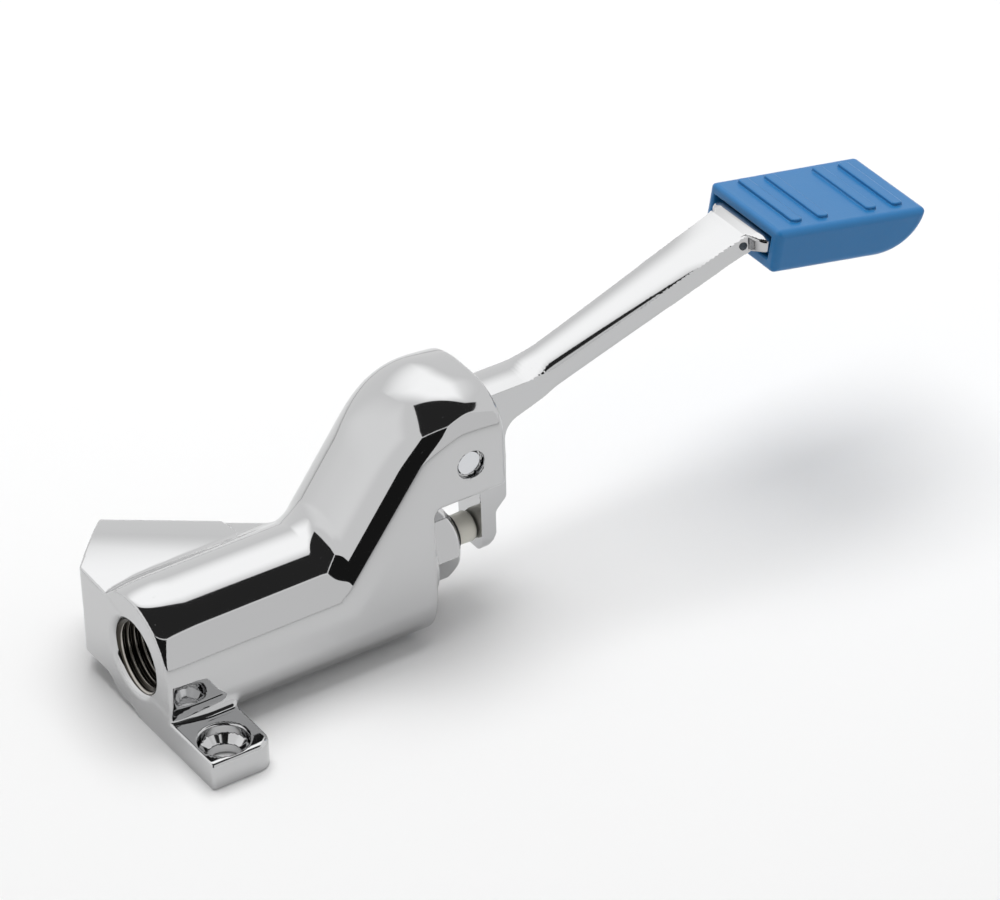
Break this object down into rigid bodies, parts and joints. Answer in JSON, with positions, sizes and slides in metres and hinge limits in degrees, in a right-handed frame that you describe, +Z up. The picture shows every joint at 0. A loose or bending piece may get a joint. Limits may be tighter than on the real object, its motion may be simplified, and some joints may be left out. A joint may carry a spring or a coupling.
{
  "type": "foot pedal tap valve",
  "caption": "Floor-standing foot valve: chromed cast body with inlet port, angled outlet boss and fixing lugs; a pivoted lever with a blue pad pushes a sprung stem off its seat.",
  "frame": {"origin": "on the floor plane, midway between the two fixing holes", "axes": "+X from the inlet port towards the pedal, +Y to the side of the outlet boss, +Z up"},
  "size_m": [0.2211, 0.0803, 0.0786],
  "materials": {
    "chrome": "polished chrome plating on brass",
    "brass": "turned brass",
    "steel": "bright stainless steel",
    "rubber": "black rubber",
    "fibre": "pressed red fibre",
    "nylon": "natural nylon",
    "blue_plastic": "satin blue moulded plastic"
  },
  "bodies": {
    "valve": {"valve_body": "chrome", "seat_ring": "brass", "seat_seal": "rubber", "cage_sleeve": "brass", "gland_nut": "chrome", "gland_washer": "fibre", "stem_seals": "rubber", "seal_retainer": "brass", "wiper_ring": "rubber", "pivot_pin": "steel", "pivot_washers": "nylon", "return_spring": "steel"},
    "stem": {"valve_stem": "steel", "plunger_button": "nylon", "stem_clip": "steel", "disc_holder": "brass", "valve_washer": "rubber", "disc_nut": "brass"},
    "pedal": {"pedal_lever": "chrome", "lever_bush": "nylon", "pedal_tongue": "chrome", "tongue_pin": "steel", "pedal_pad": "blue_plastic"}
  },
  "joints": [
    {"name": "pedal_pivot", "type": "hinge", "parent": "valve", "child": "pedal", "pos_m": [0.0515, 0, 0.0485], "axis": [0, 1, 0], "range_deg": [0, 8], "stiffness_Nm_per_rad": 4, "springref_deg": -17.19},
    {"name": "stem_slide", "type": "slide", "parent": "valve", "child": "stem", "axis": [-1, 0, 0], "range_m": [0, 0.0048], "deforming": ["return_spring"]}
  ],
  "couplings": [
    {"joint": "stem_slide", "follows": "pedal_pivot", "m_per_rad": 0.034}
  ]
}
